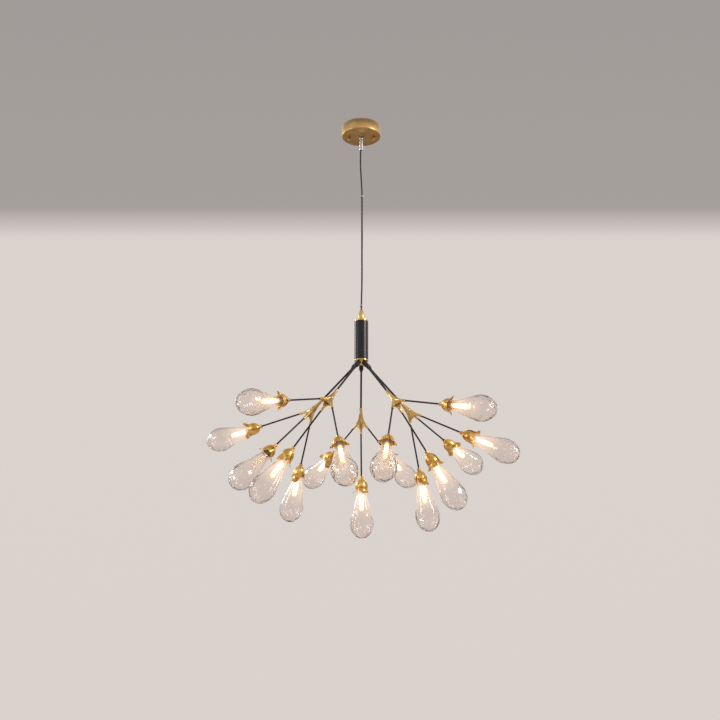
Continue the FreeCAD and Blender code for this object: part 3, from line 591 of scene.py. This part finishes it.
# ---------------------------------------------------------------- rods and flower cups
# Three black rods run from each tripod, and each ends in a brass cup like a tulip: a collar that
# widens into the glass's gallery, and three broad petals round it whose lips curl out.
rod_form = lathe(soften([(0, 27.6), (2, 27.6), (2, 60), (2, 147), (0, 147)], 0.2), 40)
bell_profile = np.array([(4.4, 7), *bend((4.4, 7), (15.2, 26), 24, -1, 24)[1:],
                         *bend((15.2, 26), (19.5, 44), 24, 1, 20)[1:]])
gallery = lathe(soften([(2.05, 9), (2.05, 0), (4.4, 0), (4.4, 7), (8, 10), (13.5, 22), (13.5, 31),
                        (12.3, 31), (12.3, 25.2), (10.8, 25.2), (10.8, 20.2), (6.2, 12),
                        (6.2, 9), (2.05, 9)], 0.4), 96)


def petal_form(across=30, along=44):
    """One petal about the angle 0, from 9.5 mm up to its lip at 43.8 mm, with the bell's
    radius at each level.  Its half width is 60 degrees less the angle whose sine is the
    notch's half width over that radius.  The notch starts at 14.6 mm and its half width grows
    from 1.5 mm to 14.6 mm on an arc of 48 mm.  Four small changes go on top of the radius,
    where high runs from 0 at 12 mm to 1 at 42 mm: cupping by the cosine of the angle, a lip
    that flares 3 mm with the sixth power of high, dents as a product of two sines, and a
    slant that laps one edge over the next petal's."""
    level = np.linspace(0, 1, along) ** 0.9 * (43.8 - 9.5) + 9.5
    radius = np.interp(level, bell_profile[:, 1], bell_profile[:, 0])
    sweep = np.array(bend((1.5, 16.5), (14.6, 45), 48, 1, 40))
    notch = np.interp(level, sweep[:, 1], sweep[:, 0]) * np.clip((level - 14.6) / 1.9, 0, 1)
    half = math.pi / 3 - np.arcsin(np.clip(notch / radius, 0, 0.86))
    half = np.minimum(half, math.pi / 3 - 0.012)
    share = np.sin(np.linspace(-1, 1, across) * math.pi / 2)
    angle = half[:, None] * share[None, :]
    height = level[:, None]
    high = np.clip((height - 12) / 30, 0, 1)
    crown, slant = np.cos(angle * 1.5), np.sin(angle * 1.5)
    cupping = 1.1 * high * (crown - 0.75)
    flare = 3.0 * high ** 6
    dents = 0.16 * high * np.sin(7.3 * angle + 0.31 * height) * np.sin(0.52 * height)
    lapped = 0.55 * slant * np.clip((height - 10) / 8, 0, 1)
    outer = radius[:, None] + cupping + flare + dents + lapped
    wall = 1.3 - 0.5 * high
    lowered = height - 1.4 * high ** 8 * crown
    skins = [np.stack([(outer - depth) * np.cos(angle), (outer - depth) * np.sin(angle),
                       lowered], axis=-1) for depth in (0, wall)]
    edge = 0.5 * (skins[0] + skins[1])
    rim = np.concatenate([edge[:, :1], skins[0], edge[:, -1:], skins[1][:, ::-1]], axis=1)
    cap = np.broadcast_to(rim.mean(axis=1, keepdims=True), rim.shape)
    rows = np.concatenate([cap[:1], rim, cap[-1:]])
    return rows.reshape(-1, 3), wrap(len(rows), rows.shape[1])


flower_cup = together([gallery] + [moved(petal_form(), turn_about("z", bearing))
                                   for bearing in PRONG_BEARINGS])
# Each cup is turned about its own rod, as the petals point in the photograph.
CUP_TURNS = {
    "front_left": (35, -40, -32), "left": (54, -44, 11), "back": (-24, -5, -22),
    "front_right": (-51, 44, -25), "right": (22, -15, 51),
}
petal_brass = brass_finish("petal_brass", (0.44, 0.195, 0.036), (0.95, 0.61, 0.19), 0.24,
                           0.02, 70.0, 0.8)
HEADS = {}
for branch in BRANCHES:
    place = branch_place(branch)
    HEADS[branch] = [place @ prong_place(bearing, CUP_REACH) for bearing in PRONG_BEARINGS]
    rods = make_piece("slim_rods_" + branch, together(
        [moved(rod_form, place @ prong_place(bearing)) for bearing in PRONG_BEARINGS]),
        "branch_" + branch, "rods_" + branch)
    paint(black, rods)
    cups = make_piece("petal_cups_" + branch, together(
        [moved(flower_cup, head @ turn_about("z", turn))
         for head, turn in zip(HEADS[branch], CUP_TURNS[branch])]),
        "branch_" + branch, "cups_" + branch)
    paint(petal_brass, cups)

# ---------------------------------------------------------------- lamps
# A frosted stick lamp stands in a dark holder in each cup and glows warm white.  One at the
# left is nearly out, as in the photograph.
lamp_profile = soften([(0, 30), (3.5, 30), (3.5, 36), (5.0, 36), (5.2, 36.4), (5.2, 60)], 0.3)
lamp_form = lathe([*lamp_profile, *bend((5.2, 80.8), (0, 86), 5.2, -1, 10)], 48)


LAMP_START, LAMP_LENGTH = 36 * MM, 50 * MM
DIM_LAMP = "left_1"
inner_brass = brass_finish("inner_brass", (0.27, 0.135, 0.060), (0.42, 0.235, 0.115), 0.42,
                           0.04, 150.0, metal=0.45)


def way_along(place, head):
    """How far a point lies along a cup's axis, in metres from the cup's base."""
    off = place.node("VectorMath", {0: place, 1: tuple(head[:3, 3] * MM)},
                     operation="SUBTRACT")
    return off.node("VectorMath", {0: off, 1: tuple(head[:3, 2])}, output=1,
                    operation="DOT_PRODUCT")


def lamp_glow(name, head, power):
    """Warm light that starts 8 mm above the lamp's cream base and fades to amber at its tip."""
    material, place = new_material(name, Roughness=0.4, Emission_Strength=power)
    warmth = place.noise(120.0, 2.0)
    fade = (way_along(place, head) - LAMP_START) / LAMP_LENGTH + warmth * 0.08 - 0.04
    feed(material,
         Base_Color=warmth.ramp((0.3, (0.85, 0.74, 0.56)), (0.7, (0.92, 0.83, 0.68))),
         Emission_Color=fade.ramp((0.13, (0.16, 0.11, 0.06)), (0.19, (1.0, 0.72, 0.42)),
                                  (0.35, (1.0, 0.83, 0.58)), (0.75, (1.0, 0.76, 0.48)),
                                  (1.0, (0.70, 0.42, 0.18))))
    return material


for branch, heads in HEADS.items():
    lamps = make_piece("stick_lamps_" + branch, together(
        [moved(lamp_form, head) for head in heads]), "branch_" + branch, "lamps_" + branch)
    lamps.data.materials.clear()
    for number, head in enumerate(heads, start=1):
        name = "%s_%d" % (branch, number)
        power = 0.35 if name == DIM_LAMP else 2.0
        lamps.data.materials.append(lamp_glow("lamp_glow_" + name, head, power))
    share = len(lamps.data.polygons) // 3
    for face in lamps.data.polygons:
        face.material_index = min(face.index // share, 2)
    paint(inner_brass, nodes["holders_" + branch])

# ---------------------------------------------------------------- glass drops
# Blown clear drops: a straight neck inside the cup, a long flare and a round foot.  Both skins
# are there, 2 mm apart, so that light bends in the wall as it does in the real thing.
GLASS_FOOT = 153.5
outer_glass = [(12, 25.5), (12, 44.76), (28.067, 104.725),
               *bend((28.067, 104.725), (21.074, 142.728), 45, -1, 16)[1:],
               *bend((21.074, 142.728), (0, GLASS_FOOT), 26, -1, 16)[1:]]
inner_glass = [(0, 151.5), *bend((0, 151.5), (19.453, 141.557), 24, 1, 16)[1:],
               *bend((19.453, 141.557), (26.135, 105.243), 43, 1, 16)[1:], (10, 45.02),
               (10, 25.5)]


def resample(profile, step, rounds):
    """The profile in even steps, with its corners eased by averaging each point with its
    neighbours a few times."""
    profile = np.array(profile, float)
    run = np.concatenate([[0], np.cumsum(np.linalg.norm(np.diff(profile, axis=0), axis=1))])
    spots = np.linspace(0, run[-1], int(run[-1] / step) + 1)
    line = np.stack([np.interp(spots, run, profile[:, axis]) for axis in (0, 1)], axis=1)
    for _ in range(rounds):
        line[1:-1] = 0.25 * line[:-2] + 0.5 * line[1:-1] + 0.25 * line[2:]
    return line


drop_profile = np.concatenate([resample(outer_glass, 2.0, 5), resample(inner_glass, 2.0, 5),
                               [(10.4, 25.2), (11.6, 25.2), (12, 25.5)]])
drop_form = lathe(drop_profile, 80)


# Where the painted glow in the glass is brightest, and how far out from there it fades.
PAINTED_GLOW_MIDDLE, PAINTED_GLOW_REACH = 55 * MM, 50 * MM


def drop_glass(name, head, painted_glow_strength):
    """Faintly rosy glass whose skin is almost even at the neck and dimpled at the foot, where
    blown glass runs thicker: dimples grow with a power of the way along the drop's axis.  The
    neck has a warm glow painted in, as bright as the given factor, in the place of the lamp's
    light in it, and small cells in the foot carry painted sparkles, in the place of glints."""
    material, place = new_material(name, Transmission_Weight=1.0, IOR=1.4,
                                   Emission_Strength=1.0)
    way = way_along(place, head)
    foot = (way / (GLASS_FOOT * MM)).maths("POWER", 2.5)
    broad = place.noise(26.0, 1.0)
    dimple = place.node("TexVoronoi", {0: place, "Scale": 120.0})
    # Painted light: a warm glow brightest 55 mm along the drop, and painted sparkles that grow
    # towards the foot.
    off_middle = (way - PAINTED_GLOW_MIDDLE).maths("ABSOLUTE")
    haze_and_painted_glow = (off_middle * (-1 / PAINTED_GLOW_REACH) + 1.0).maths("MAXIMUM", 0.0) * painted_glow_strength
    painted_sparkle_cells = place.node("TexVoronoi", {0: place, "Scale": 85.0})
    painted_sparkle = ((painted_sparkle_cells - 0.19) * -12.5).maths("MAXIMUM", 0.0).maths("MINIMUM", 1.0) * foot
    feed(material,
         Base_Color=broad.ramp((0.3, (0.915, 0.865, 0.84)), (0.7, (0.955, 0.915, 0.895))),
         Emission_Color=(haze_and_painted_glow + painted_sparkle * 0.55).ramp(
             (0.0, (0, 0, 0)), (0.3, (0.19, 0.125, 0.065)), (1.0, (1.0, 0.88, 0.70))),
         Roughness=broad.between(0.0, 0.02),
         Normal=(dimple * foot * 1.2 + broad * 0.6).bump(0.8, 0.0014))
    return material


for branch, heads in HEADS.items():
    for number, head in enumerate(heads, start=1):
        name = "%s_%d" % (branch, number)
        drop = make_piece("blown_drop_" + name, moved(drop_form, head), "glass_" + name,
                          "glass_" + name)
        # The painted glow is weaker in the drop round the dim lamp.
        painted_glow_strength = 0.04 if name == DIM_LAMP else 0.18
        paint(drop_glass("drop_glass_" + name, head, painted_glow_strength), drop)

# ---------------------------------------------------------------- floor, light and backdrop
# Plain studio: a pale floor well below the light, three large soft lamps that stand outside the
# picture, and a plain pale backdrop that is darker above: a ceiling's shade over a wall, painted
# in.  Shiny surfaces mirror a dimmer studio with a bright band at eye level.
disc = bpy.data.meshes.new("floor")
rim = np.linspace(0, 2 * math.pi, 96, endpoint=False)
disc.from_pydata(np.stack([3 * np.cos(rim), 3 * np.sin(rim), np.full(96, -1.9)], 1).tolist(),
                 [], [list(range(96))])
floor = bpy.data.objects.new("floor", disc)
bpy.context.collection.objects.link(floor)
pale, place = new_material("pale_floor", Roughness=0.9)
feed(pale, Base_Color=place.noise(3.0).ramp((0.3, (0.66, 0.61, 0.58)), (0.7, (0.70, 0.65, 0.61))))
paint(pale, floor)


def soft_lamp(name, spot, power, width, colour=(1, 1, 1)):
    """A square area lamp at a spot, facing the middle of the light."""
    lamp = bpy.data.lights.new(name, "AREA")
    lamp.energy, lamp.size, lamp.color = power, width, colour
    holder = bpy.data.objects.new(name, lamp)
    holder.location = spot
    aim = Vector((0, 0, -0.75)) - Vector(spot)
    holder.rotation_euler = aim.to_track_quat("-Z", "Y").to_euler()
    bpy.context.collection.objects.link(holder)


soft_lamp("key", (2.5, -1.1, 0.4), 48, 1.0, (1.0, 0.97, 0.93))
soft_lamp("fill", (-2.7, -1.2, -0.4), 22, 1.0, (0.97, 0.98, 1.0))
soft_lamp("rim", (-2.9, 1.7, 0.6), 26, 1.0)

world = bpy.data.worlds.new("backdrop")
bpy.context.scene.world = world
world.use_nodes = True
tree = world.node_tree
tree.nodes.clear()
up = tree.nodes.new("ShaderNodeTexCoord")
sideways, forward, height = (Value(tree, up.outputs["Generated"]).node(
    "SeparateXYZ", {0: Value(tree, up.outputs["Generated"])}, output=axis) for axis in range(3))
slope = height / sideways.maths("ABSOLUTE").maths("MAXIMUM", forward.maths("ABSOLUTE"))
# The backdrop that the camera sees: a pale wall below, and a ceiling's shade painted above it.
wall = slope.ramp((0.0, (0.700, 0.645, 0.612)), (0.42, (0.708, 0.651, 0.617)),
                  (0.455, (0.38, 0.35, 0.335)), (1.0, (0.33, 0.31, 0.30)))
studio = (height * 0.5 + 0.5).ramp((0.0, (0.13, 0.085, 0.05)), (0.34, (0.22, 0.155, 0.11)),
                                   (0.50, (0.58, 0.55, 0.52)), (0.62, (1.0, 0.97, 0.93)),
                                   (1.0, (0.60, 0.60, 0.60)))
rays = tree.nodes.new("ShaderNodeLightPath")
camera_ray, glossy_ray, clear_ray = (Value(tree, rays.outputs[name]) for name in (
    "Is Camera Ray", "Is Glossy Ray", "Is Transmission Ray"))
soft = height.node("Background", {0: (0.95, 0.96, 1.0, 1.0), 1: 0.55})
mirrored = height.node("Background", {0: studio, 1: 1.0})
plain = height.node("Background", {0: wall, 1: 1.0})
both = glossy_ray.node("MixShader", {0: glossy_ray, 1: soft, 2: mirrored})
both = both.node("MixShader", {0: camera_ray.maths("MAXIMUM", clear_ray), 1: both, 2: plain})
end = tree.nodes.new("ShaderNodeOutputWorld")
tree.links.new(both.socket, end.inputs["Surface"])
bpy.context.scene.view_settings.view_transform = "Standard"
